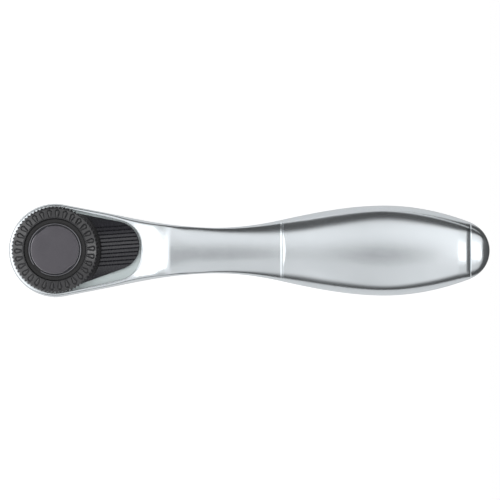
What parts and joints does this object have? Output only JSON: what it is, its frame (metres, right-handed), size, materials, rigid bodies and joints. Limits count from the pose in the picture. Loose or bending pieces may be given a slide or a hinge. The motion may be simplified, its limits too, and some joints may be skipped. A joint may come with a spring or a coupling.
{
  "type": "bit ratchet",
  "caption": "Small reversible ratchet handle for hexagon bits, with a knurled thumbwheel, a ribbed direction switch and a waisted satin chrome grip.",
  "frame": {"origin": "on the drive axis, in the plane of the underside at the mouth of the bit socket", "axes": "+X along the handle to its end, +Z out of the thumbwheel, so the bit socket faces -Z"},
  "size_m": [0.1201, 0.0236, 0.016],
  "materials": {
    "chrome_body": "satin chrome plate over a forged and blasted body",
    "cover_steel": "satin stamped steel",
    "black_oxide": "black oxide",
    "bronze": "sintered bronze",
    "bright_steel": "ground steel",
    "ring_steel": "dark spring steel",
    "spindle_steel": "dark grey phosphated steel, matt",
    "rubber": "black rubber",
    "magnet_nickel": "nickel plate",
    "wheel_plastic": "moulded black nylon, satin",
    "switch_plastic": "moulded black nylon, satin"
  },
  "bodies": {
    "body": {"body": "chrome_body", "cover_plate": "cover_steel", "cover_screws": "black_oxide", "spindle_bush": "bronze", "pawl_pin": "bright_steel"},
    "drive": {"ratchet_gear": "spindle_steel", "gear_washer": "bright_steel", "drag_ring": "rubber", "socket_magnet": "magnet_nickel", "bit_retaining_ring": "bright_steel", "thumbwheel": "wheel_plastic", "wheel_snap_ring": "ring_steel", "wheel_washer": "bright_steel"},
    "switch": {"direction_switch": "switch_plastic", "plunger_spring": "bright_steel"},
    "plunger": {"plunger": "bright_steel"},
    "pawl": {"pawl": "bright_steel"}
  },
  "joints": [
    {"name": "drive_spin", "type": "hinge", "parent": "body", "child": "drive", "pos_m": [0, 0, 0], "axis": [0, 0, 1], "continuous": true},
    {"name": "switch_swing", "type": "hinge", "parent": "body", "child": "switch", "pos_m": [0, 0, 0], "axis": [0, 0, 1], "range_deg": [-8.5, 0]},
    {"name": "pawl_rock", "type": "hinge", "parent": "body", "child": "pawl", "pos_m": [0.0113, 0, 0], "axis": [0, 0, 1], "range_deg": [-7.9, 0]},
    {"name": "plunger_slide", "type": "slide", "parent": "switch", "child": "plunger", "axis": [0.9973, 0.0741, 0], "range_m": [0, 0.0006], "stiffness_N_per_m": 200, "springref_m": -0.0005, "deforming": ["plunger_spring"]}
  ],
  "couplings": [
    {"joint": "pawl_rock", "follows": "switch_swing", "ratio": 0.92875}
  ]
}
